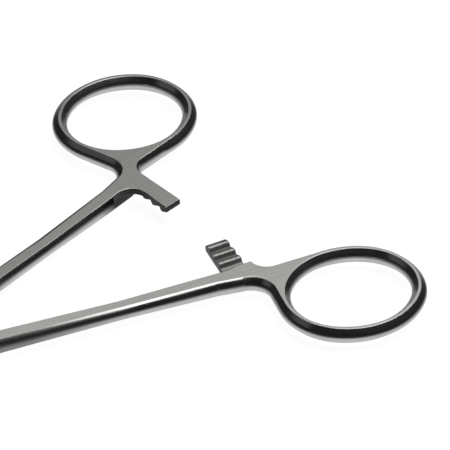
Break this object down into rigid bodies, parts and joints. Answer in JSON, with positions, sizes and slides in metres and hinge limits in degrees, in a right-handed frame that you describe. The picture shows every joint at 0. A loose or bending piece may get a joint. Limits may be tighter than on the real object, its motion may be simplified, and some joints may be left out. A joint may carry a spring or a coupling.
{
  "type": "tubing clamp",
  "caption": "Straight forceps-pattern tubing clamp with a box joint, finger rings, a ratchet between the shanks and smooth jaws.",
  "frame": {"origin": "on the pin's axis, at the underside of the box joint", "axes": "+X from the pin midway between the finger rings, +Y towards the box half's ring, +Z along the pin, upwards"},
  "size_m": [0.1505, 0.1013, 0.0056],
  "materials": {
    "forged_steel": "satin ground flats, polished rounded sides",
    "pin_steel": "ground flush with the box joint"
  },
  "bodies": {
    "box_side": {"box_half": "forged_steel", "joint_pin": "pin_steel"},
    "lap_side": {"lap_half": "forged_steel"}
  },
  "joints": [
    {"name": "box_joint", "type": "hinge", "parent": "box_side", "child": "lap_side", "pos_m": [0, 0, 0.0028], "axis": [0, 0, 1], "range_deg": [-30, 17.4]}
  ]
}
